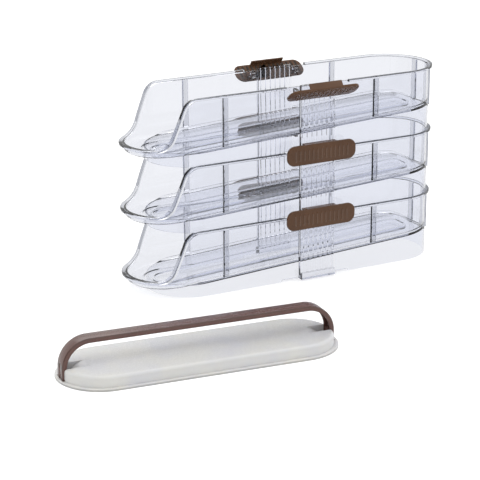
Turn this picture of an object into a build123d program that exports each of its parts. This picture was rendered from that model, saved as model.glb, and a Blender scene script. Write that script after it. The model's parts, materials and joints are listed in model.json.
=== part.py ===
from build123d import *
from math import cos, radians, sin, sqrt, tan
import os

# Tiered egg tray: three identical clear trays with sloping floors stand on
# each other, held by two brown hinged clips on each tray. A translucent lid
# with a pop-up carrying handle stands in front of the stack.
# Millimetres. X runs from the open front to the tall rear end, Z is up.
# The pieces are made about the stack's own middle. The last block moves the
# whole set, so that the origin is the middle of the ground that it covers.

# Stack and tray outline
tier_names = ("bottom", "middle", "top")
rim_length = 377.0
rim_width = 100.0
tray_height = 74.0
wall = 1.8
flange_reach = 4.3
flange_thickness = 2.6

# Seat of one tray in the rim of the tray below
seat_depth = 1.6
seat_clearance = 0.2
skirt_step = 0.6
skirt_setback = 29.0
skirt_rise = 1.3

# Floor: the main slope, the short fall behind its ridge, and the channel with its dished front
floor_depth = 51.9
floor_slope = 3.1
floor_thickness = 2.0
floor_cove = 5.0
keel_radius = 6.0
ridge_gap = 20.0
tail_slope = 27.0
channel_width = 28.0
channel_depth = 4.5
channel_front_gap = 35.0
channel_rear_gap = 29.0
channel_rear_radius = 8.0
dish_radius = 22.5
dish_depth = 1.2
dish_front_gap = 23.0
dish_length = 42.0

# Front mouth
mouth_corner_setback = 52.5
mouth_drop = 53.4
mouth_lean = 22.0
mouth_top_radius = 18.0
mouth_bottom_radius = 20.0

# Posts moulded on the outside of the wall
post_width = 5.6
post_reach = 3.7
post_places = (-91.5, 93.8)
tail_post_angle = 16.0

# Fluted strip, its foot, and the relief in the skirt and rim beside it
clip_place = 19.8
strip_width = 42.0
flute_count = 7
flute_pitch = 6.1
flute_width = 3.8
flute_depth = 0.8
flute_angle = 36.0
foot_reach = 4.0
foot_height = 7.2
notch_width = 83.6
notch_height = 2.5
rim_gap_width = 77.0

# Clip
clip_width = 85.0
clip_height = 22.0
clip_corner = 9.0
clip_thickness = 2.4
clip_standoff = 9.0
clip_rise = 9.0
clip_edge_chamfer = 0.7
pivot_inset = 6.0
pivot_drop = 7.0
pin_radius = 1.5
pin_clearance = 0.08
lug_spacing = 54.0
lug_width = 4.0
lug_radius = 3.0
lug_root = 9.0
ear_gap = 0.3
ear_thickness = 2.5
ear_radius = 2.6
tongue_width = 40.0
tongue_thickness = 1.5
tongue_gap = 0.3
tongue_tip_gap = 0.4
clip_open_angle = 52.0
clip_groove_count = 14
clip_groove_pitch = 5.55
clip_groove_width = 2.7
clip_groove_length = 17.4
clip_groove_depth = 0.6

# Lid
lid_length = 291.0
lid_height = 13.5
lid_wall = 1.6
lid_flange_thickness = 2.0
lid_inset = 4.5
lid_edge_radius = 3.5
lid_place = (-204.6, -204.9)
lid_turn = -5.96

# Handle, its snap legs, and the pockets in the lid that they slide in
handle_end_gap = 3.5
handle_height = 41.0
handle_corner = 29.0
strap_width = 16.2
strap_depth = 4.6
strap_skin = 1.8
strap_cheek = 2.2
strap_edge_chamfer = 0.8
leg_slit_width = 1.8
leg_slit_height = 17.0
leg_clearance = 0.3
barb_reach = 1.2
barb_height = 2.2
lowered_gap = 0.4

# Derived sizes
rim_half = rim_width / 2
wall_half = rim_half - flange_reach
inner_half = wall_half - wall
fuse_half = (inner_half + wall_half) / 2
skirt_half = wall_half + skirt_step
seat_half = skirt_half + seat_clearance
end_centre = rim_length / 2 - rim_half
tier_pitch = tray_height - seat_depth
skirt_front = skirt_setback + skirt_half - rim_length / 2
far_out = rim_length

clip_outer = rim_half + clip_standoff
clip_inner = clip_outer - clip_thickness
pivot_y = clip_outer - pivot_inset
pivot_z = tray_height - pivot_drop
tongue_bottom = tray_height + foot_height + tongue_gap
tongue_tip = rim_half + tongue_tip_gap
ear_start = lug_spacing / 2 + lug_width / 2 + ear_gap
ear_root = clip_inner + clip_groove_depth - pivot_y

handle_span = lid_length - 2 * handle_end_gap
handle_travel = handle_height - strap_depth - lid_height - lowered_gap
lid_direction = (cos(radians(lid_turn)), sin(radians(lid_turn)), 0)
lid_plane = Plane(origin=(*lid_place, 0), x_dir=lid_direction, z_dir=(0, 0, 1))
lid_side = Plane(origin=(*lid_place, 0), x_dir=lid_direction, z_dir=(lid_direction[1], -lid_direction[0], 0))
lid_middle = Plane(origin=(*lid_place, 0), x_dir=(0, 0, 1), z_dir=lid_direction)

os.makedirs("parts", exist_ok=True)


def sloping_plane(rise):
    """Plane parallel to the sloping floor, at a height above the floor's top."""
    lean = radians(floor_slope)
    middle = tray_height - floor_depth + rise / cos(lean)
    return Plane(origin=(0, 0, middle), x_dir=(cos(lean), 0, sin(lean)), z_dir=(-sin(lean), 0, cos(lean)))


def under_floor(rise):
    """Side view of all that lies under the floor, up to a height above the floor's top."""
    lean = radians(floor_slope)
    fall = radians(tail_slope)
    ridge_x = rim_length / 2 - ridge_gap
    level = tray_height - floor_depth
    front_level = level + rise / cos(lean)
    tail_level = level + ridge_x * (tan(lean) + tan(fall)) + rise / cos(fall)
    crest_x = (tail_level - front_level) / (tan(lean) + tan(fall))
    with BuildLine() as outline:
        Polyline(
            (-far_out, front_level - far_out * tan(lean)),
            (crest_x, front_level + crest_x * tan(lean)),
            (far_out, tail_level - far_out * tan(fall)),
            (far_out, -far_out),
            (-far_out, -far_out),
            close=True,
        )
    make_face(outline.edges())


def stadium(front, rear, radius, mode=Mode.ADD):
    """Slot outline along X between two end centres."""
    with Locations(((front + rear) / 2, 0)):
        SlotCenterToCenter(rear - front, 2 * radius, mode=mode)


def mouth_sketch(drop):
    """Face above the rim line in side view: level rim, S-curve and front lip, lowered by a drop."""
    shift = drop * tan(radians(90 - mouth_lean) / 2)
    top_x = mouth_corner_setback - rim_length / 2
    bottom_x = top_x - mouth_drop * tan(radians(mouth_lean))
    level = tray_height - drop
    with BuildLine() as outline:
        FilletPolyline(
            (far_out, level),
            (top_x + shift, level),
            (bottom_x + shift, level - mouth_drop),
            (-far_out, level - mouth_drop),
            radius=[mouth_top_radius - drop, mouth_bottom_radius + drop],
        )
        Polyline((-far_out, level - mouth_drop), (-far_out, far_out), (far_out, far_out), (far_out, level))
    make_face(outline.edges())


def floor_rim(form):
    """Edges between a form's wall and its sloping bottom."""
    low = form.edges().filter_by(lambda edge: edge.center().Z < tray_height / 2)
    return low.filter_by(Axis.Y, reverse=True)


# Basket: outer form down to the floor's underside, with a rounded keel
with BuildPart() as basket:
    with BuildSketch():
        stadium(-end_centre, end_centre, wall_half)
    extrude(amount=tray_height)
    with BuildSketch(Plane.XZ):
        under_floor(-floor_thickness)
    extrude(amount=rim_width, both=True, mode=Mode.SUBTRACT)
    fillet(floor_rim(basket), radius=keel_radius)

# Hollow of the basket, with the cove between wall and floor
with BuildPart() as hollow:
    with BuildSketch():
        stadium(-end_centre, end_centre, inner_half)
    extrude(amount=2 * tray_height)
    with BuildSketch(Plane.XZ):
        under_floor(0)
    extrude(amount=rim_width, both=True, mode=Mode.SUBTRACT)
    fillet(floor_rim(hollow), radius=floor_cove)

# Skirt under the floor, set back at the nose, and the hollow inside it
with BuildPart() as skirt:
    with BuildSketch():
        stadium(skirt_front, end_centre, skirt_half)
    extrude(amount=tray_height)
    with BuildSketch(Plane.XZ):
        under_floor(skirt_rise)
    extrude(amount=rim_width, both=True, mode=Mode.INTERSECT)
with BuildPart() as skirt_hollow:
    with BuildSketch():
        stadium(skirt_front, end_centre, skirt_half - wall)
    extrude(amount=tray_height)
    with BuildSketch(Plane.XZ):
        under_floor(-floor_thickness)
    extrude(amount=rim_width, both=True, mode=Mode.INTERSECT)


def channel_outline(border):
    """Channel with a round front and a squarer rear, grown all round by a border."""
    half = channel_width / 2 + border
    front = channel_front_gap - border - rim_length / 2
    rear = rim_length / 2 - channel_rear_gap + border
    stadium(front + half, 0, half)
    with Locations((rear, 0)):
        RectangleRounded(rear - front - half, 2 * half, channel_rear_radius, align=(Align.MAX, Align.CENTER))


def dish_outline(border):
    """Wide round dish that narrows to the channel behind it, grown all round by a border."""
    dish_x = dish_front_gap + dish_radius - rim_length / 2
    with Locations((dish_x, 0)):
        Circle(dish_radius + border)
    with Locations((dish_x + dish_length, 0)):
        Circle(channel_width / 2 + border)
    make_hull()


# Pan and groove of the channel down the middle of the floor
with BuildPart() as channel_pan:
    with BuildSketch(sloping_plane(-channel_depth - floor_thickness)):
        channel_outline(wall)
    extrude(amount=channel_depth + floor_thickness / 2)
    with BuildSketch(sloping_plane(-dish_depth - floor_thickness)):
        dish_outline(wall)
    extrude(amount=dish_depth + floor_thickness / 2)
with BuildPart() as channel:
    with BuildSketch(sloping_plane(-channel_depth)):
        channel_outline(0)
    extrude(amount=2 * channel_depth)
    with BuildSketch(sloping_plane(-dish_depth)):
        dish_outline(0)
    extrude(amount=2 * dish_depth)

# Posts: one pair near the front, one near the rear, two round the tail
with BuildPart() as posts:
    post_middle = (fuse_half + wall_half + post_reach) / 2
    post_deep = wall_half + post_reach - fuse_half
    with BuildSketch():
        for x in post_places:
            with Locations((x, post_middle), (x, -post_middle)):
                Rectangle(post_width, post_deep)
        for angle in (tail_post_angle, -tail_post_angle):
            along = end_centre + post_middle * cos(radians(angle))
            across = post_middle * sin(radians(angle))
            with Locations((along, across)):
                Rectangle(post_deep, post_width, rotation=angle)
    extrude(amount=tray_height - flange_thickness / 2)
    with BuildSketch(Plane.XZ):
        under_floor(skirt_rise)
    extrude(amount=rim_width, both=True, mode=Mode.SUBTRACT)


def eight_sided(reach):
    """Octagon with flat sides at one reach from its middle, for the ends of lugs and ears."""
    RegularPolygon(reach, side_count=8, major_radius=False, rotation=180 / 8)


# Rim flange that follows the level rim, the S-curve and the front lip
with BuildPart() as rim_flange:
    with BuildSketch():
        stadium(-end_centre, end_centre, rim_half)
        stadium(-end_centre, end_centre, fuse_half, mode=Mode.SUBTRACT)
    extrude(amount=tray_height)
    with BuildSketch(Plane.XZ):
        mouth_sketch(flange_thickness)
    extrude(amount=rim_width, both=True, mode=Mode.INTERSECT)
    with BuildSketch(Plane.XY.offset(tray_height)):
        with Locations((clip_place, wall_half + rim_half), (clip_place, -wall_half - rim_half)):
            Rectangle(rim_gap_width, 2 * rim_half)
    extrude(amount=-2 * flange_thickness, mode=Mode.SUBTRACT)

# Side fittings: strip with flat-sided flutes, its foot, and the pivot lugs of the clip
with BuildPart() as fittings:
    with BuildSketch(Plane.XY.offset(seat_depth)):
        with Locations((clip_place, -(fuse_half + rim_half) / 2)):
            Rectangle(strip_width, rim_half - fuse_half)
        with Locations((clip_place, -rim_half)):
            with GridLocations(flute_pitch, 0, flute_count, 1):
                Trapezoid(
                    flute_width,
                    flute_depth,
                    flute_angle,
                    align=(Align.CENTER, Align.MIN),
                    mode=Mode.SUBTRACT,
                )
    extrude(amount=tray_height - seat_depth)
    with BuildSketch(Plane.XY.offset(seat_depth)):
        with Locations((clip_place, flute_depth - rim_half)):
            Rectangle(strip_width, foot_reach + flute_depth, align=(Align.CENTER, Align.MAX))
    extrude(amount=foot_height)
    for side in (-1, 1):
        with BuildSketch(Plane.YZ.offset(clip_place + side * lug_spacing / 2)):
            with BuildLine():
                Polyline(
                    (-fuse_half, pivot_z + lug_root / 2),
                    (-pivot_y, pivot_z + lug_radius),
                    (-pivot_y, pivot_z - lug_radius),
                    (-fuse_half, pivot_z - lug_root / 2),
                    close=True,
                )
            make_face()
            with Locations((-pivot_y, pivot_z)):
                eight_sided(lug_radius)
                Circle(pin_radius + pin_clearance, mode=Mode.SUBTRACT)
        extrude(amount=lug_width / 2, both=True)
    mirror(about=Plane.XZ)

# One tray, put together from its forms
with BuildPart() as tray:
    add(basket.part)
    add(skirt.part)
    add(skirt_hollow.part, mode=Mode.SUBTRACT)
    add(channel_pan.part)
    add(posts.part)
    add(rim_flange.part)
    add(hollow.part, mode=Mode.SUBTRACT)
    add(channel.part, mode=Mode.SUBTRACT)
    with BuildSketch(Plane.XZ):
        mouth_sketch(0)
    extrude(amount=rim_width, both=True, mode=Mode.SUBTRACT)
    with BuildSketch(Plane.XZ):
        with Locations((clip_place, 0)):
            Rectangle(notch_width, 2 * notch_height)
    extrude(amount=rim_width, both=True, mode=Mode.SUBTRACT)
    add(fittings.part)
    with BuildSketch(Plane.XY.offset(tray_height - seat_depth)):
        stadium(-end_centre, end_centre, seat_half)
    extrude(amount=2 * seat_depth, mode=Mode.SUBTRACT)

pieces = {}
for tier, tier_name in enumerate(tier_names):
    pieces["tray_" + tier_name] = tray.part.moved(Location((0, 0, tier * tier_pitch)))

# Clip: oval plate with grooves down its inner face, a tongue that hooks over
# the upper tray's foot, and two ears with stub pins that snap into the lugs
with BuildPart() as clip:
    with BuildSketch(Plane.XZ.offset(clip_inner)):
        with Locations((clip_place, tray_height + clip_rise - clip_height / 2)):
            RectangleRounded(clip_width, clip_height, clip_corner)
    extrude(amount=clip_thickness)
    chamfer(clip.faces().sort_by(Axis.Y)[0].edges(), length=clip_edge_chamfer)
    with BuildSketch(Plane.XY.offset(tray_height + clip_rise - clip_height / 2)):
        with Locations((clip_place, -clip_inner)):
            with GridLocations(clip_groove_pitch, 0, clip_groove_count, 1):
                half = clip_groove_width / 2
                Polygon((-half, 0), (0, -clip_groove_depth), (half, 0), align=None)
    extrude(amount=clip_groove_length / 2, both=True, mode=Mode.SUBTRACT)
    with BuildSketch(Plane.XY.offset(tongue_bottom)):
        with Locations((clip_place, -tongue_tip)):
            Rectangle(tongue_width, clip_inner - tongue_tip, align=(Align.CENTER, Align.MAX))
    extrude(amount=tongue_thickness)
    for side in (-1, 1):
        with BuildSketch(Plane.YZ.offset(clip_place + side * ear_start)):
            with Locations((-pivot_y, pivot_z)):
                eight_sided(ear_radius)
                Rectangle(ear_root, 2 * ear_radius, align=(Align.MAX, Align.CENTER))
        extrude(amount=side * ear_thickness)
        with BuildSketch(Plane.YZ.offset(clip_place + side * ear_start)):
            with Locations((-pivot_y, pivot_z)):
                Circle(pin_radius)
        extrude(amount=-side * (lug_width + ear_gap))

far_clip = mirror(clip.part, about=Plane.XZ)
for tier, tier_name in enumerate(tier_names):
    for side_name, shape, side in (("near", clip.part, -1), ("far", far_clip, 1)):
        open_angle = side * clip_open_angle if tier_name == "top" else 0
        pivot = Axis((clip_place, side * pivot_y, pivot_z), (-1, 0, 0))
        turned = shape.rotate(pivot, open_angle)
        pieces["clip_" + tier_name + "_" + side_name] = turned.moved(Location((0, 0, tier * tier_pitch)))

# Lid: thin flange and raised hollow body, with a curved pocket at each end
# that takes the handle's leg and rounded corner when the handle is lowered
corner_x = handle_span / 2 - handle_corner
corner_z = handle_height - handle_corner - handle_travel
pocket_radius = handle_corner - strap_depth - lowered_gap
pocket_end = handle_span / 2 + leg_clearance
pocket_half = strap_width / 2 + leg_clearance


def pocket_profile(radius, end):
    """Face in the lid's side view, above an arc round the lowered handle's corner centre."""
    foot_x = corner_x + sqrt(radius**2 - corner_z**2)
    crown = corner_z + radius
    with BuildLine() as outline:
        RadiusArc((corner_x, crown), (foot_x, 0), radius)
        Polyline((foot_x, 0), (end, 0), (end, 2 * lid_height), (corner_x, 2 * lid_height), (corner_x, crown))
    make_face(outline.edges())


with BuildPart() as lid_hollow:
    with BuildSketch(lid_plane):
        SlotOverall(lid_length - 2 * lid_inset - 2 * lid_wall, 2 * (skirt_half - lid_inset - lid_wall))
    extrude(amount=lid_height - lid_wall)
    with BuildSketch(lid_side):
        pocket_profile(pocket_radius - lid_wall, lid_length / 2)
    extrude(amount=pocket_half + lid_wall, both=True, mode=Mode.SUBTRACT)
    split(bisect_by=lid_middle, keep=Keep.TOP)
    mirror(about=lid_middle)
with BuildPart() as pockets:
    with BuildSketch(lid_side):
        pocket_profile(pocket_radius, pocket_end)
    extrude(amount=pocket_half, both=True)
    with BuildSketch(lid_plane):
        with Locations((pocket_end, 0)):
            Rectangle(
                strap_depth + 2 * leg_clearance,
                2 * (pocket_half + barb_reach),
                align=(Align.MAX, Align.CENTER),
            )
    extrude(amount=barb_height + leg_clearance)
    mirror(about=lid_middle)
with BuildPart() as lid:
    with BuildSketch(lid_plane):
        SlotOverall(lid_length - 2 * lid_inset, 2 * (skirt_half - lid_inset))
    extrude(amount=lid_height)
    fillet(lid.faces().sort_by(Axis.Z)[-1].edges(), radius=lid_edge_radius)
    with BuildSketch(lid_plane):
        SlotOverall(lid_length, 2 * skirt_half)
    extrude(amount=lid_flange_thickness)
    add(lid_hollow.part, mode=Mode.SUBTRACT)
    add(pockets.part, mode=Mode.SUBTRACT)
pieces["lid"] = lid.part

# Handle: U-section strap bent round two corners; each leg ends in two
# fingers parted by a slit, with a barb on the outside of each finger
with BuildPart() as handle:
    with BuildLine(lid_side) as strap_line:
        FilletPolyline(
            (-handle_span / 2, 0),
            (-handle_span / 2, handle_height),
            (handle_span / 2, handle_height),
            (handle_span / 2, 0),
            radius=handle_corner,
        )
    with BuildSketch(lid_plane) as strap_section:
        with Locations((-handle_span / 2, 0)):
            Rectangle(strap_depth, strap_width, align=(Align.MIN, Align.CENTER))
        chamfer(strap_section.vertices().group_by(Axis.X)[0], length=strap_edge_chamfer)
        with Locations((strap_skin - handle_span / 2, 0)):
            Rectangle(
                strap_depth,
                strap_width - 2 * strap_cheek,
                align=(Align.MIN, Align.CENTER),
                mode=Mode.SUBTRACT,
            )
    sweep(path=strap_line.line)
    leg_places = (strap_depth / 2 - handle_span / 2, handle_span / 2 - strap_depth / 2)
    with BuildSketch(lid_plane):
        for x in leg_places:
            with Locations((x, 0)):
                Rectangle(strap_depth - strap_skin, strap_width - 2 * strap_cheek)
    extrude(amount=handle_height - handle_corner)
    with BuildSketch(lid_plane):
        for x in leg_places:
            with Locations((x, 0)):
                Rectangle(strap_depth, strap_width + 2 * barb_reach)
    extrude(amount=barb_height)
    with BuildSketch(lid_plane):
        for x in leg_places:
            with Locations((x, 0)):
                Rectangle(4 * strap_depth, leg_slit_width)
    extrude(amount=leg_slit_height, mode=Mode.SUBTRACT)
pieces["handle"] = handle.part

# Whole set on the ground, about the middle of its footprint
footprint = Compound(list(pieces.values())).bounding_box().center()
print("footprint middle", round(footprint.X, 4), round(footprint.Y, 4))
for name, piece in pieces.items():
    placed = piece.moved(Location((-footprint.X, -footprint.Y, 0)))
    placed.label = name
    export_step(placed, "parts/" + name + ".step")
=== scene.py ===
"""Tiered egg tray: three clear trays with brown clips, and a lid with a carrying handle in front of them."""

import json
import logging
import math
from dataclasses import dataclass
from enum import Enum

import bmesh
import bpy
from mathutils import Matrix, Vector


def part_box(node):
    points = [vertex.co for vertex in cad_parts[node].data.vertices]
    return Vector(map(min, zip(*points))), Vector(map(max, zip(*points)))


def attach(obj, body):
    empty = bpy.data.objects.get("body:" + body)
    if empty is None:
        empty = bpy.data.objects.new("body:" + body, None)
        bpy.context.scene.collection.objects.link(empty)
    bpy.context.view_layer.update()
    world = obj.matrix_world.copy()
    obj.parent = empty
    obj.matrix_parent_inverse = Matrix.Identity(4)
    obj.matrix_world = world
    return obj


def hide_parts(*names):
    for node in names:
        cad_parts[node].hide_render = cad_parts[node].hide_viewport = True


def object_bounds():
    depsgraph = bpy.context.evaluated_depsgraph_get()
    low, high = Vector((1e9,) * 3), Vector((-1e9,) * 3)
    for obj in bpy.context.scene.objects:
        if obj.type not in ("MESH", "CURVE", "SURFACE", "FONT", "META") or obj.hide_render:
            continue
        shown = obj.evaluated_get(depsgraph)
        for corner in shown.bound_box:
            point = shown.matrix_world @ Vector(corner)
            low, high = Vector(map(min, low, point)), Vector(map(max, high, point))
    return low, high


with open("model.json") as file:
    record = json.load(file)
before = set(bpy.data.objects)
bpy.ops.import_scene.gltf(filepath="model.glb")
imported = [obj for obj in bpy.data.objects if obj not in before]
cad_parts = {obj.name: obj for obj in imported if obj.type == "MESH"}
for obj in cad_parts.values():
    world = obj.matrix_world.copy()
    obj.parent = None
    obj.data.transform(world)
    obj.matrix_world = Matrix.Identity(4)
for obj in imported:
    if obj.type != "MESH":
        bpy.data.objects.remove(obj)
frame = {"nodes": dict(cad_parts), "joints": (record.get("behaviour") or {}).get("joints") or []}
CAD_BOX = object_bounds()
LOG = logging.getLogger("egg_tray")

Colour = tuple[float, float, float, float]
Fade = tuple[tuple[float, float], tuple[float, float]]
Socket = bpy.types.NodeSocket

MM = 0.001
WELD = 0.001 * MM
WHITE: Colour = (1.0, 1.0, 1.0, 1.0)
NOISE_BAND = (0.35, 0.65)
ROUND_PROFILE = 0.5
EDGE_SHADE = "edge_shade"


class Side(Enum):
    """Long side of the stack that a clip hangs on."""

    NEAR = "near"
    FAR = "far"


class Tier(Enum):
    """Level of a tray in the stack, from the ground up."""

    BOTTOM = "bottom"
    MIDDLE = "middle"
    TOP = "top"


def clip_name(tier: Tier, side: Side) -> str:
    """Name of a clip's node, which is also its body's."""
    return f"clip_{tier.value}_{side.value}"


def srgb(red: int, green: int, blue: int) -> Colour:
    """Linear colour of a paint mixed in 0 to 255 steps.

    Args:
        red: red share.
        green: green share.
        blue: blue share.

    Returns:
        The linear colour, opaque.
    """
    full, knee, slope, lead, power = 255, 0.04045, 12.92, 0.055, 2.4

    def linear(step: int) -> float:
        """One channel, taken off the usual curve of picture files."""
        share = step / full
        return share / slope if share <= knee else ((share + lead) / (1 + lead)) ** power

    return (linear(red), linear(green), linear(blue), 1.0)


class Tree:
    """The node tree of a material or a world, with short calls that add and join nodes."""

    def __init__(self, owner: bpy.types.Material | bpy.types.World, output: str = "OutputMaterial") -> None:
        """Start an empty tree with an output.

        Args:
            owner: the material or world.
            output: the output's node type, without its ShaderNode prefix.
        """
        owner.use_nodes = True
        self.owner = owner
        self.nodes = owner.node_tree.nodes
        self.links = owner.node_tree.links
        self.nodes.clear()
        self.output = self.add(output)

    def feed(self, socket: Socket, value: object) -> None:
        """Link a source socket to a socket, or set the socket's own value.

        Args:
            socket: the socket that takes the value.
            value: a source socket, number, colour or vector.
        """
        if isinstance(value, Socket):
            self.links.new(value, socket)
        else:
            socket.default_value = value

    def add(self, kind: str, settings: dict | None = None, **inputs: object) -> bpy.types.Node:
        """Add a node.

        Args:
            kind: node type without its ShaderNode prefix.
            settings: the node's own properties.
            inputs: socket values or source sockets, with _ for a space in a name.

        Returns:
            The new node.
        """
        node = self.nodes.new("ShaderNode" + kind)
        for key, value in (settings or {}).items():
            setattr(node, key, value)
        for key, value in inputs.items():
            self.feed(node.inputs[key.replace("_", " ")], value)
        return node

    def result(self, kind: str, *values: object, **settings: object) -> Socket:
        """First output of a new node that takes its inputs in order.

        Args:
            kind: node type without its ShaderNode prefix.
            values: values or source sockets for the first inputs.
            settings: the node's own properties.

        Returns:
            The output.
        """
        node = self.add(kind, settings)
        for socket, value in zip(node.inputs, values):
            self.feed(socket, value)
        return node.outputs[0]

    def speckle(self, scale: float, detail: float = 2.0) -> Socket:
        """Even noise over the piece, on object coordinates.

        Args:
            scale: cells in a metre.
            detail: octaves.

        Returns:
            The noise factor.
        """
        place = self.add("TexCoord").outputs["Object"]
        return self.add("TexNoise", Vector=place, Scale=scale, Detail=detail).outputs["Fac"]

    def spread(self, noise: Socket, low: float, high: float) -> Socket:
        """Noise mapped from its usual middle band to a range.

        Args:
            noise: the noise factor.
            low: the range's start.
            high: the range's end.

        Returns:
            The mapped value.
        """
        band_low, band_high = NOISE_BAND
        band = self.add("MapRange", Value=noise, From_Min=band_low, From_Max=band_high,
                        To_Min=low, To_Max=high)
        return band.outputs["Result"]

    def painted_shade_share(self) -> Socket:
        """The share of painted shade that the piece's faces carry."""
        return self.add("Attribute", {"attribute_name": EDGE_SHADE}).outputs["Fac"]

    def bump(self, height: Socket, depth: float, strength: float) -> Socket:
        """Small relief from a height."""
        return self.add("Bump", Height=height, Distance=depth, Strength=strength).outputs["Normal"]


@dataclass(frozen=True)
class ClearMoulding:
    """Polished clear plastic with a faint lavender tint, and painted shade on the faces noted along its
    edges.
    """

    name: str = "clear_moulding"
    ior: float = 1.41
    wall_tint: Colour = (0.902, 0.914, 0.957, 1.0)
    depth_tint: Colour = (0.5, 0.52, 0.62, 1.0)
    depth_density: float = 22.0
    lamp_share: Colour = (0.975, 0.977, 0.985, 1.0)
    edge_painted_shade: Colour = (0.16, 0.175, 0.22, 1.0)
    edge_painted_reflection_shade: Colour = (0.3, 0.31, 0.35, 1.0)
    polish: float = 0.02
    flow_scale: float = 14.0
    flow_detail: float = 1.0
    flow_depth: float = 0.04 * MM
    flow_strength: float = 0.25

    def build(self) -> bpy.types.Material:
        """Make the material.

        Returns:
            Glass with tinted depth, faint flow marks, painted shade on noted faces, and a pass for the lamps'
            light.
        """
        tree = Tree(bpy.data.materials.new(self.name))
        flow = tree.speckle(self.flow_scale, self.flow_detail)
        # Painted shade: noted faces take the darker edge colour in what shows through them, and a dimmer
        # reflection.
        edge = tree.painted_shade_share()
        glass = tree.add(
            "BsdfPrincipled", Base_Color=tree.result("MixRGB", edge, self.wall_tint, self.edge_painted_shade),
            Roughness=self.polish, IOR=self.ior,
            Specular_Tint=tree.result("MixRGB", edge, WHITE, self.edge_painted_reflection_shade),
            Transmission_Weight=1.0, Normal=tree.bump(flow, self.flow_depth, self.flow_strength),
        )
        shadow = tree.add("LightPath").outputs["Is Shadow Ray"]
        through = tree.result("BsdfTransparent", self.lamp_share)
        tree.feed(tree.output.inputs["Surface"], tree.result("MixShader", shadow, glass.outputs[0], through))
        depth = tree.add("VolumeAbsorption", Color=self.depth_tint, Density=self.depth_density)
        tree.feed(tree.output.inputs["Volume"], depth.outputs[0])
        return tree.owner


@dataclass(frozen=True)
class SatinMoulding:
    """Coloured plastic with a soft sheen, fine mould grain, slight cloudiness and painted shade on noted
    faces.
    """

    name: str
    colour: Colour
    cloud_colour: Colour
    roughness_low: float
    roughness_high: float
    ior: float = 1.5
    sheen_level: float = 0.5
    grain_scale: float = 2400.0
    grain_detail: float = 3.0
    grain_depth: float = 0.03 * MM
    grain_strength: float = 0.3
    cloud_scale: float = 26.0
    glow: float = 0.0
    glow_reach: float = 2.0 * MM
    glow_spread: tuple[float, float, float] = (1.0, 0.9, 0.8)
    painted_shade_colour: Colour = (0.04, 0.029, 0.022, 1.0)

    def build(self) -> bpy.types.Material:
        """Make the material.

        Returns:
            The plastic, with cloudy colour, varied gloss, grain and painted shade.
        """
        tree = Tree(bpy.data.materials.new(self.name))
        cloud = tree.spread(tree.speckle(self.cloud_scale), 0.0, 1.0)
        grain = tree.speckle(self.grain_scale, self.grain_detail)
        clouded = tree.result("MixRGB", cloud, self.colour, self.cloud_colour)
        # Painted shade: noted faces darken towards the shade colour.
        shaded = tree.result("MixRGB", tree.painted_shade_share(), clouded, self.painted_shade_colour)
        plastic = tree.add(
            "BsdfPrincipled", Base_Color=shaded,
            Roughness=tree.spread(grain, self.roughness_low, self.roughness_high),
            Normal=tree.bump(grain, self.grain_depth, self.grain_strength), IOR=self.ior,
            Specular_IOR_Level=self.sheen_level, Subsurface_Weight=self.glow,
            Subsurface_Scale=self.glow_reach, Subsurface_Radius=self.glow_spread,
        )
        tree.feed(tree.output.inputs["Surface"], plastic.outputs[0])
        return tree.owner


@dataclass(frozen=True)
class StudioPaint:
    """Pale floor that keeps a shadow and shows as white to the eye and through the clear pieces."""

    name: str = "studio_paint"
    colour: Colour = (0.80, 0.80, 0.80, 1.0)
    lift: float = 0.35
    through_glow: float = 1.0
    through_share: float = 0.85

    def build(self) -> bpy.types.Material:
        """Make the material.

        Returns:
            Matt paint that glows a little for camera rays and more for mirror and see-through rays.
        """
        tree = Tree(bpy.data.materials.new(self.name))
        path = tree.add("LightPath").outputs
        lift = tree.result("Math", path["Is Camera Ray"], self.lift, operation="MULTIPLY")
        paint = tree.result("AddShader", tree.result("BsdfDiffuse", self.colour),
                            tree.add("Emission", Strength=lift).outputs[0])
        through = tree.result("Math", path["Is Glossy Ray"], path["Is Transmission Ray"], operation="MAXIMUM")
        share = tree.result("Math", through, self.through_share, operation="MULTIPLY")
        glow = tree.add("Emission", Strength=self.through_glow).outputs[0]
        tree.feed(tree.output.inputs["Surface"], tree.result("MixShader", share, paint, glow))
        return tree.owner


# Each satin moulding's shade colour is painted shade: in the clips' grooves, on the strap's chamfers, and as
# a grey painted shadow along the lid's flange.
CLEAR = ClearMoulding()
BROWN = SatinMoulding("brown_moulding", srgb(90, 62, 42), srgb(82, 56, 38), 0.24, 0.34, sheen_level=0.3)
POLISHED_BROWN = SatinMoulding("polished_brown", srgb(92, 64, 44), srgb(84, 58, 40), 0.08, 0.14,
                               grain_depth=0.01 * MM)
MILKY = SatinMoulding("milky_moulding", srgb(214, 213, 209), srgb(207, 207, 210), 0.2, 0.3,
                      grain_depth=0.02 * MM, glow=0.5, glow_reach=4.0 * MM, painted_shade_colour=srgb(90, 90, 88))
MAUVE = SatinMoulding("mauve_moulding", srgb(95, 66, 59), srgb(89, 62, 56), 0.2, 0.28,
                      grain_depth=0.01 * MM, sheen_level=0.55)


def round_edges(work: bmesh.types.BMesh, edges: list[bmesh.types.BMEdge], radius: float, steps: int,
                shade: float = 0.0) -> None:
    """Round some edges of a mesh and paint shade on the rounding.

    Args:
        work: the mesh.
        edges: the edges to round.
        radius: how far the rounding reaches from each edge.
        steps: faces across the rounding; one makes a chamfer.
        shade: share of painted shade on the rounding.
    """
    made = bmesh.ops.bevel(work, geom=edges, offset=radius, offset_type="OFFSET", segments=steps,
                           profile=ROUND_PROFILE, affect="EDGES", clamp_overlap=True)
    # Painted shade on the rounding's faces.
    note = work.faces.layers.float[EDGE_SHADE]
    for face in made["faces"]:
        face[note] = shade


def longest_edge(face: bmesh.types.BMFace) -> float:
    """Length of a face's longest edge."""
    return max(edge.calc_length() for edge in face.edges)


def highest_point(face: bmesh.types.BMFace) -> float:
    """Height of a face's highest corner."""
    return max(vertex.co.z for vertex in face.verts)


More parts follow.
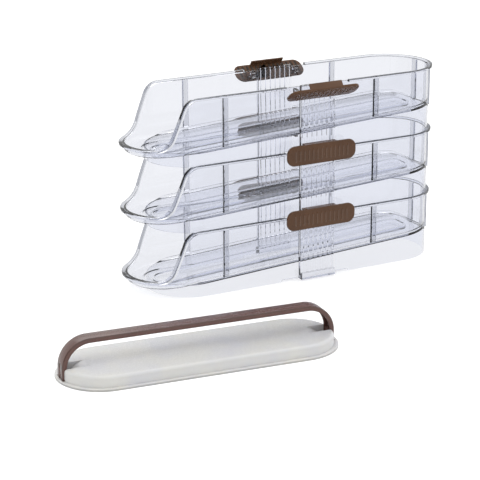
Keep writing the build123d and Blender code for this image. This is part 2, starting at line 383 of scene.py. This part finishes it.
@dataclass
class Moulding:
    """One moulded piece, taken from its CAD node as a merged and softened copy."""

    node: str
    body: str
    slot: str
    material: bpy.types.Material
    edge_radius: float = 0.25 * MM
    edge_steps: int = 2
    flat_angle: float = math.radians(0.4)
    smooth_angle: float = math.radians(32)

    def sharp_edges(self, work: bmesh.types.BMesh) -> list[bmesh.types.BMEdge]:
        """Edges that turn by more than the smooth angle, with a face on each side."""
        return [edge for edge in work.edges
                if len(edge.link_faces) == 2 and edge.calc_face_angle(0.0) > self.smooth_angle]

    def soften(self, work: bmesh.types.BMesh) -> None:
        """Round every sharp edge a little, as a mould leaves it."""
        round_edges(work, self.sharp_edges(work), self.edge_radius, self.edge_steps)

    def mesh_copy(self) -> bpy.types.Mesh:
        """Copy the node's mesh, merge its loose triangles and round its edges.

        Returns:
            The merged mesh, with faces smooth up to the smooth angle.
        """
        work = bmesh.new()
        work.from_mesh(frame["nodes"][self.node].data)
        work.faces.layers.float.new(EDGE_SHADE)
        bmesh.ops.remove_doubles(work, verts=work.verts, dist=WELD)
        bmesh.ops.dissolve_degenerate(work, edges=work.edges, dist=WELD)
        bmesh.ops.dissolve_limit(work, angle_limit=self.flat_angle, verts=work.verts, edges=work.edges,
                                 delimit={"NORMAL"})
        self.soften(work)
        for face in work.faces:
            face.smooth = True
        for edge in work.edges:
            edge.smooth = len(edge.link_faces) == 2 and edge.calc_face_angle(0.0) < self.smooth_angle
        mesh = bpy.data.meshes.new(self.node + "_moulding")
        work.to_mesh(mesh)
        work.free()
        return mesh

    def build(self) -> bpy.types.Object:
        """Make the piece and set it on its body.

        Returns:
            The piece, which stands for the CAD node.
        """
        mesh = self.mesh_copy()
        mesh.materials.append(self.material)
        piece = bpy.data.objects.new(self.node + "_moulding", mesh)
        bpy.context.scene.collection.objects.link(piece)
        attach(piece, self.body)
        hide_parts(self.node)
        LOG.info("%s: %d faces", piece.name, len(mesh.polygons))
        return piece


@dataclass
class TrayMoulding(Moulding):
    """One clear tray, with its rim rounded and its posts chamfered as a polished mould leaves them, and
    painted shade on them.
    """

    rim_half: float = 50.0 * MM
    rim_radius: float = 1.0 * MM
    rim_steps: int = 3
    rim_shade: float = 0.45
    rim_flat_shade: float = 0.85
    rim_flat_lean: float = 0.3
    lip_share: float = 0.3
    strip_offset: float = 19.8 * MM
    strip_gap_half: float = 38.4 * MM
    post_reach: float = 49.4 * MM
    post_radius: float = 0.45 * MM
    post_steps: int = 1
    post_width: float = 7.0 * MM
    upright_share: float = 0.98
    post_shade: float = 0.25
    post_flat_shade: float = 0.5
    foot_lean: float = 0.9
    foot_shade: float = 0.9
    place_error: float = 0.12 * MM

    def lies_at(self, reaches: list[float], place: float) -> bool:
        """Whether both ends of an edge reach to a place."""
        return all(abs(reach - place) < self.place_error for reach in reaches)

    def outer_edges(self, work: bmesh.types.BMesh, low: Vector,
                    high: Vector) -> tuple[list[bmesh.types.BMEdge], list[bmesh.types.BMEdge]]:
        """Sort out the sharp edges to soften, which keep clear of the side strips and their clips.

        Args:
            work: the tray's mesh.
            low: the tray's lowest corner.
            high: the tray's highest corner.

        Returns:
            The outer edges of the rim, and the posts' upright corners.
        """
        middle = (low + high) / 2
        spine = (high.x - low.x) / 2 - self.rim_half
        strip = middle.x + self.strip_offset
        rim, posts = [], []
        for edge in self.sharp_edges(work):
            start, end = (vertex.co for vertex in edge.verts)
            if min(abs(start.x - strip), abs(end.x - strip)) <= self.strip_gap_half:
                continue
            reaches = [math.hypot(max(abs(spot.x - middle.x) - spine, 0.0), spot.y - middle.y)
                       for spot in (start, end)]
            upright = abs(start.z - end.z) > self.upright_share * edge.calc_length()
            if self.lies_at(reaches, self.rim_half):
                rim.append(edge)
            elif upright and self.lies_at(reaches, self.post_reach):
                posts.append(edge)
        return rim, posts

    def note_flats(self, work: bmesh.types.BMesh, rim: list[bmesh.types.BMEdge],
                   posts: list[bmesh.types.BMEdge], low: Vector, high: Vector) -> None:
        """Paint shade on the posts' fronts, on the rim's flats (less of it towards the low lip), and on the
        skirt's lower edge.

        Args:
            work: the tray's mesh.
            rim: the outer edges of the rim.
            posts: the posts' upright corners.
            low: the tray's lowest corner.
            high: the tray's highest corner.
        """
        # Painted shade: the faces noted here are darkened in the clear material.
        note = work.faces.layers.float[EDGE_SHADE]
        for face in {face for edge in posts for face in edge.link_faces}:
            spots = [vertex.co.x for vertex in face.verts]
            if max(spots) - min(spots) < self.post_width:
                face[note] = self.post_flat_shade
        for face in {face for edge in rim for face in edge.link_faces}:
            if abs(face.normal.z) > self.rim_flat_lean:
                height = (face.calc_center_median().z - low.z) / (high.z - low.z)
                face[note] = self.rim_flat_shade * (self.lip_share + (1 - self.lip_share) * height)
        for face in work.faces:
            if face.normal.z < -self.foot_lean and highest_point(face) < low.z + self.place_error:
                face[note] = self.foot_shade

    def soften(self, work: bmesh.types.BMesh) -> None:
        """Round the rim, chamfer the posts, and paint shade on the roundings and on the flats beside them.

        Args:
            work: the tray's mesh.
        """
        low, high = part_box(self.node)
        rim, posts = self.outer_edges(work, low, high)
        self.note_flats(work, rim, posts, low, high)
        LOG.info("%s: %d rim edges, %d post edges", self.node, len(rim), len(posts))
        round_edges(work, rim, self.rim_radius, self.rim_steps, self.rim_shade)
        whole_posts = [edge for edge in posts if edge.is_valid]
        round_edges(work, whole_posts, self.post_radius, self.post_steps, self.post_shade)


@dataclass
class Stack:
    """The three clear trays."""

    material: bpy.types.Material
    body: str = "stack"

    def build(self) -> list[bpy.types.Object]:
        """Make each tray from the ground up.

        Returns:
            The trays.
        """
        return [TrayMoulding("tray_" + tier.value, self.body, "clear_plastic", self.material).build()
                for tier in Tier]


@dataclass
class ClipMoulding(Moulding):
    """One clip, whose inner face has deep fine grooves, with painted shade on their flanks to make them
    darker than the ribs between them.
    """

    groove_length: float = 15.0 * MM
    groove_lean: tuple[float, float] = (0.3, 0.6)
    groove_shade: float = 1.0

    def soften(self, work: bmesh.types.BMesh) -> None:
        """Paint shade on the grooves' flanks and round the other sharp edges.

        Args:
            work: the clip's mesh.
        """
        note = work.faces.layers.float[EDGE_SHADE]
        low, high = self.groove_lean
        flanks = {face for face in work.faces
                  if low < abs(face.normal.x) < high and longest_edge(face) > self.groove_length}
        # Painted shade in the grooves.
        for face in flanks:
            face[note] = self.groove_shade
        LOG.info("%s: %d groove flanks", self.node, len(flanks))
        edges = [edge for edge in self.sharp_edges(work) if not flanks.issuperset(edge.link_faces)]
        round_edges(work, edges, self.edge_radius, self.edge_steps)


class RibTree:
    """Geometry Nodes tree that lays a row of low round-ended ribs."""

    inputs: tuple[tuple[str, str], ...] = (
        ("Count", "Int"), ("Pitch", "Float"), ("Length", "Float"), ("Width", "Float"), ("Height", "Float"),
        ("Taper", "Float"), ("Corner Steps", "Int"), ("Material", "Material"),
    )
    corner_share: float = 0.49
    half: float = 0.5

    def __init__(self, name: str) -> None:
        """Start the tree with its inputs and its output.

        Args:
            name: the tree's name.
        """
        self.tree = bpy.data.node_groups.new(name, "GeometryNodeTree")
        self.tree.interface.new_socket("Geometry", in_out="OUTPUT", socket_type="NodeSocketGeometry")
        self.sockets: dict[str, str] = {}
        for label, kind in self.inputs:
            socket = self.tree.interface.new_socket(label, in_out="INPUT", socket_type="NodeSocket" + kind)
            self.sockets[label] = socket.identifier
        self.given = self.tree.nodes.new("NodeGroupInput")

    def feed(self, socket: Socket, value: object) -> None:
        """Link a source to a socket, or set the socket's own value.

        Args:
            socket: the socket that takes the value.
            value: a source socket, the name of one of the tree's inputs, or a number.
        """
        source = self.given.outputs[value] if isinstance(value, str) else value
        if isinstance(source, Socket):
            self.tree.links.new(source, socket)
        else:
            socket.default_value = source

    def add(self, kind: str, settings: dict | None = None, **inputs: object) -> bpy.types.Node:
        """Add a node.

        Args:
            kind: node type, without its prefix where that is GeometryNode.
            settings: the node's own properties.
            inputs: numbers, source sockets or names of the tree's inputs, with _ for a space in a name.

        Returns:
            The new node.
        """
        node = self.tree.nodes.new(kind if kind.startswith("ShaderNode") else "GeometryNode" + kind)
        for key, value in (settings or {}).items():
            setattr(node, key, value)
        for key, value in inputs.items():
            self.feed(node.inputs[key.replace("_", " ")], value)
        return node

    def maths(self, operation: str, *values: object) -> Socket:
        """Result of one arithmetic step.

        Args:
            operation: the step's kind, such as MULTIPLY.
            values: numbers, source sockets or names of the tree's inputs.

        Returns:
            The result.
        """
        node = self.add("ShaderNodeMath", {"operation": operation})
        for socket, value in zip(node.inputs, values):
            self.feed(socket, value)
        return node.outputs[0]

    def rib(self) -> Socket:
        """One closed rib: a round-ended outline filled, raised and drawn in towards its top.

        Returns:
            The rib's geometry.
        """
        outline = self.add("CurvePrimitiveQuadrilateral", {"mode": "RECTANGLE"},
                           Width="Width", Height="Length")
        corner = self.maths("MULTIPLY", "Width", self.corner_share)
        rounded = self.add("FilletCurve", {"mode": "POLY"}, Curve=outline.outputs["Curve"],
                           Count="Corner Steps", Radius=corner)
        base = self.add("FillCurve", {"mode": "NGONS"}, Curve=rounded.outputs["Curve"]).outputs["Mesh"]
        raised = self.add("ExtrudeMesh", {"mode": "FACES"}, Mesh=base, Offset_Scale="Height")
        drawn = self.add("ScaleElements", {"domain": "FACE"}, Geometry=raised.outputs["Mesh"],
                         Selection=raised.outputs["Top"], Scale="Taper")
        under = self.add("FlipFaces", Mesh=base)
        both = self.add("JoinGeometry", Geometry=under.outputs["Mesh"])
        self.feed(both.inputs["Geometry"], drawn.outputs["Geometry"])
        closed = self.add("MergeByDistance", Geometry=both.outputs["Geometry"], Distance=WELD)
        return closed.outputs["Geometry"]

    def finish(self) -> None:
        """Lay the ribs side by side, centred, as real geometry with the material."""
        gap = self.add("ShaderNodeCombineXYZ", X="Pitch")
        first_place = self.maths("MULTIPLY_ADD", "Count", -self.half, self.half)
        start = self.add("ShaderNodeCombineXYZ", X=self.maths("MULTIPLY", first_place, "Pitch"))
        row = self.add("MeshLine", {"mode": "OFFSET"}, Count="Count", Offset=gap.outputs["Vector"],
                       Start_Location=start.outputs["Vector"])
        laid = self.add("InstanceOnPoints", Points=row.outputs["Mesh"], Instance=self.rib())
        real = self.add("RealizeInstances", Geometry=laid.outputs["Instances"])
        painted = self.add("SetMaterial", Geometry=real.outputs["Geometry"], Material="Material")
        output = self.tree.nodes.new("NodeGroupOutput")
        self.feed(output.inputs["Geometry"], painted.outputs["Geometry"])


@dataclass
class GripRibs:
    """The fine upright ribs on a clip's outer face, where a thumb pulls it."""

    material: bpy.types.Material
    count: int = 13
    pitch: float = 5.35 * MM
    length: float = 14.0 * MM
    width: float = 2.4 * MM
    height: float = 0.5 * MM
    sink: float = 0.1 * MM
    taper: float = 0.75
    corner_steps: int = 4

    def row_mesh(self) -> bpy.types.Mesh:
        """Run the Geometry Nodes tree once and keep its mesh.

        Returns:
            The row of ribs, centred, rising along +Z.
        """
        ribs = RibTree("grip_ribs")
        ribs.finish()
        holder = bpy.data.objects.new("grip_rib_row", bpy.data.meshes.new("grip_rib_seed"))
        bpy.context.scene.collection.objects.link(holder)
        modifier = holder.modifiers.new("ribs", "NODES")
        modifier.node_group = ribs.tree
        for label, value in (("Count", self.count), ("Pitch", self.pitch), ("Length", self.length),
                             ("Width", self.width), ("Height", self.height), ("Taper", self.taper),
                             ("Corner Steps", self.corner_steps), ("Material", self.material)):
            modifier[ribs.sockets[label]] = value
        bpy.context.view_layer.update()
        mesh = bpy.data.meshes.new_from_object(holder.evaluated_get(bpy.context.evaluated_depsgraph_get()))
        holder.modifiers.remove(modifier)
        bpy.data.objects.remove(holder)
        return mesh

    def on_clip(self, tier: Tier, side: Side) -> Matrix:
        """Where the row lies: the middle of the clip's outer face.

        Args:
            tier: the clip's tray.
            side: the clip's long side.

        Returns:
            The place, with an open clip's turn in it.
        """
        hinges = {joint["name"]: joint for joint in frame["joints"]}
        hinge = hinges[clip_name(tier, side) + "_hinge"]
        closed_clip = clip_name(Tier.MIDDLE, side)
        low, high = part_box(closed_clip)
        middle = (low + high) / 2
        out = -1.0 if side is Side.NEAR else 1.0
        face = Vector((middle.x, (low.y if side is Side.NEAR else high.y) - out * self.sink, middle.z))
        upright = Matrix(((-out, 0, 0), (0, 0, out), (0, 1, 0))).to_4x4()
        pivot = Vector(hinge["pos_m"])
        step = pivot - Vector(hinges[closed_clip + "_hinge"]["pos_m"])
        turn = Matrix.Rotation(-math.radians(hinge["range_deg"][0]), 4, Vector(hinge["axis"]))
        opened = Matrix.Translation(pivot) @ turn @ Matrix.Translation(-pivot)
        return opened @ Matrix.Translation(face + step) @ upright

    def build(self) -> list[bpy.types.Object]:
        """Put one row on each clip.

        Returns:
            The rows.
        """
        row = self.row_mesh()
        rows = []
        for tier in Tier:
            for side in Side:
                clip = clip_name(tier, side)
                mesh = row.copy()
                mesh.transform(self.on_clip(tier, side))
                ribs = bpy.data.objects.new(clip + "_ribs", mesh)
                bpy.context.scene.collection.objects.link(ribs)
                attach(ribs, clip)
                rows.append(ribs)
                LOG.info("%s: %d faces", ribs.name, len(mesh.polygons))
        return rows


@dataclass
class Clips:
    """The six hinged clips."""

    material: bpy.types.Material
    rib_material: bpy.types.Material

    def build(self) -> list[bpy.types.Object]:
        """Make each clip on its own body, with its grip ribs.

        Returns:
            The clips and ribs.
        """
        names = [clip_name(tier, side) for tier in Tier for side in Side]
        clips = [ClipMoulding(name, name, "brown_plastic", self.material).build() for name in names]
        return clips + GripRibs(self.rib_material).build()


@dataclass
class LidMoulding(Moulding):
    """The lid, with a painted shadow along its thin flange's outer edge, where it stands on the surface."""

    flange_height: float = 2.1 * MM
    flange_lean: float = 0.8
    flange_shade: float = 0.4

    def soften(self, work: bmesh.types.BMesh) -> None:
        """Round the sharp edges and paint shadow on the upright faces near the ground.

        Args:
            work: the lid's mesh.
        """
        super().soften(work)
        note = work.faces.layers.float[EDGE_SHADE]
        # Painted shadow along the flange, where the lid stands on the surface.
        for face in work.faces:
            if abs(face.normal.z) < self.flange_lean and highest_point(face) < self.flange_height:
                face[note] = self.flange_shade


@dataclass
class StrapMoulding(Moulding):
    """The strap handle, with painted shade that makes its chamfered edges darker than its satin top."""

    chamfer_widths: tuple[float, float] = (0.6 * MM, 1.4 * MM)
    chamfer_shade: float = 0.45

    def soften(self, work: bmesh.types.BMesh) -> None:
        """Paint shade on the chamfers along the strap and round the sharp edges.

        Args:
            work: the handle's mesh.
        """
        note = work.faces.layers.float[EDGE_SHADE]
        low, high = self.chamfer_widths
        # Painted shade on the strap's chamfers.
        for face in work.faces:
            length = longest_edge(face)
            if length > high and low < face.calc_area() / length < high:
                face[note] = self.chamfer_shade
        super().soften(work)


@dataclass
class CarryingLid:
    """The lid and its handle."""

    lid_material: bpy.types.Material
    handle_material: bpy.types.Material

    def build(self) -> list[bpy.types.Object]:
        """Make the lid and the handle.

        Returns:
            Both pieces.
        """
        return [
            LidMoulding("lid", "lid", "lid_plastic", self.lid_material).build(),
            StrapMoulding("handle", "handle", "handle_plastic", self.handle_material).build(),
        ]


@dataclass(frozen=True)
class SoftLamp:
    """A square soft lamp above the object."""

    place: tuple[float, float, float]
    size: float
    power: float

    def build(self, name: str, target: Vector) -> None:
        """Hang the lamp.

        Args:
            name: the lamp's name.
            target: the point that it is turned to.
        """
        lamp = bpy.data.lights.new(name, "AREA")
        lamp.size = self.size
        lamp.energy = self.power
        holder = bpy.data.objects.new(name, lamp)
        holder.location = self.place
        holder.rotation_euler = (target - Vector(self.place)).to_track_quat("-Z", "Y").to_euler()
        bpy.context.scene.collection.objects.link(holder)


@dataclass
class Studio:
    """Floor, soft lamps, white surroundings and the camera.

    The camera was fitted to the photograph's level rims, sloping floor lines and upright strips, in units of
    one tier's height. One point on the ground under the stack is fit_origin_units in that fit, and
    stack_origin in the shared frame.
    """

    floor_half: float = 6.0
    focal_pixels: float = 1861.14
    picture_pixels: float = 480.0
    sensor: float = 36.0
    clip_near: float = 0.05
    clip_far: float = 50.0
    turn: float = 0.489959
    tilt: float = 0.313765
    roll: float = -0.004048
    unit: float = 72.4 * MM
    distance_units: float = 28.5
    offset_units: tuple[float, float] = (0.553570, 0.541517)
    fit_origin_units: tuple[float, float, float] = (0.04, 0.0, -1.022)
    stack_origin: tuple[float, float] = (79.5319 * MM, 96.3146 * MM)
    world_strength: float = 0.85
    up_fade: Fade = ((0.0, 1.0), (0.6, 0.8))
    ahead_fade: Fade = ((-0.4, 0.2), (0.04, 1.0))
    paint: StudioPaint = StudioPaint()
    lamps: tuple[SoftLamp, ...] = (
        SoftLamp((-0.7, -1.0, 2.2), 2.8, 19.0),
        SoftLamp((1.5, -0.8, 1.7), 2.4, 8.0),
        SoftLamp((0.2, 1.5, 1.7), 1.4, 9.0),
    )

    def floor(self) -> None:
        """Lay the floor, which isn't part of the object."""
        mesh = bpy.data.meshes.new("studio_floor")
        half = self.floor_half
        corners = [(-half, -half, 0), (half, -half, 0), (half, half, 0), (-half, half, 0)]
        mesh.from_pydata(corners, [], [(0, 1, 2, 3)])
        mesh.materials.append(self.paint.build())
        floor = bpy.data.objects.new("studio_floor", mesh)
        bpy.context.scene.collection.objects.link(floor)

    def brightness(self, tree: Tree, axis: Vector, fade: Fade) -> Socket:
        """Brightness of the room along one axis.

        Args:
            tree: the world's node tree.
            axis: direction in the room.
            fade: where the change starts and ends, each with its level; -1 is against the axis, 1 along it.

        Returns:
            The brightness.
        """
        along = tree.add("VectorMath", {"operation": "DOT_PRODUCT"})
        tree.feed(along.inputs[0], tree.add("TexCoord").outputs["Generated"])
        tree.feed(along.inputs[1], axis)
        (start, start_level), (end, end_level) = fade
        change = tree.add("MapRange", Value=along.outputs["Value"], From_Min=start, From_Max=end,
                          To_Min=start_level, To_Max=end_level)
        return change.outputs["Result"]

    def room_shade(self, tree: Tree) -> Socket:
        """Brightness of the room in clear and glossy pieces: pale behind the object, dark in front.

        Args:
            tree: the world's node tree.

        Returns:
            The brightness.
        """
        ahead = Vector((math.sin(self.turn), math.cos(self.turn), 0.0))
        return tree.result("Math", self.brightness(tree, Vector((0.0, 0.0, 1.0)), self.up_fade),
                           self.brightness(tree, ahead, self.ahead_fade), operation="MULTIPLY")

    def surroundings(self) -> None:
        """White to the eye, softer as a source of light."""
        world = bpy.data.worlds.new("studio_world")
        bpy.context.scene.world = world
        tree = Tree(world, "OutputWorld")
        path = tree.add("LightPath").outputs
        light = tree.result("Background", WHITE, self.world_strength)
        mirrored = tree.result("Background", WHITE, self.room_shade(tree))
        seen = tree.result("Background", WHITE, 1.0)
        through = tree.result("Math", path["Is Glossy Ray"], path["Is Transmission Ray"], operation="MAXIMUM")
        unseen = tree.result("MixShader", through, light, mirrored)
        shown = tree.result("MixShader", path["Is Camera Ray"], unseen, seen)
        tree.feed(tree.output.inputs["Surface"], shown)

    def light(self) -> None:
        """Hang the soft lamps, each turned to the object's middle."""
        low, high = CAD_BOX
        for index, lamp in enumerate(self.lamps):
            lamp.build(f"soft_lamp_{index}", (low + high) / 2)

    def camera(self) -> None:
        """Stand the camera where the photograph was taken from."""
        level_reach = math.cos(self.tilt)
        ahead = Vector((math.sin(self.turn) * level_reach, math.cos(self.turn) * level_reach,
                        -math.sin(self.tilt)))
        level = Vector((math.cos(self.turn), -math.sin(self.turn), 0.0))
        upright = level.cross(ahead)
        right = math.cos(self.roll) * level + math.sin(self.roll) * upright
        above = -math.sin(self.roll) * level + math.cos(self.roll) * upright
        across, up = self.offset_units
        spot = (-across * right - up * above - self.distance_units * ahead) - Vector(self.fit_origin_units)
        place = self.unit * spot + Vector((*self.stack_origin, 0.0))
        lens = bpy.data.cameras.new("camera")
        lens.sensor_width = self.sensor
        lens.lens = self.sensor * self.focal_pixels / self.picture_pixels
        lens.clip_start = self.clip_near
        lens.clip_end = self.clip_far
        camera = bpy.data.objects.new("camera", lens)
        camera.matrix_world = Matrix.Translation(place) @ Matrix((right, above, -ahead)).transposed().to_4x4()
        bpy.context.scene.collection.objects.link(camera)
        bpy.context.scene.camera = camera

    def build(self) -> None:
        """Set up the whole studio."""
        self.camera()
        self.floor()
        self.surroundings()
        self.light()
        bpy.context.scene.view_settings.view_transform = "Standard"
        LOG.info("studio ready")


def main() -> None:
    """Build every sub-assembly in order and report it."""
    logging.basicConfig(level=logging.INFO, format="%(name)s %(message)s")
    Studio().build()
    sub_assemblies: list[Stack | Clips | CarryingLid] = [
        Stack(CLEAR.build()),
        Clips(BROWN.build(), POLISHED_BROWN.build()),
        CarryingLid(MILKY.build(), MAUVE.build()),
    ]
    for sub_assembly in sub_assemblies:
        for piece in sub_assembly.build():
            LOG.info("built %s", piece.name)


if __name__ == "__main__":
    main()
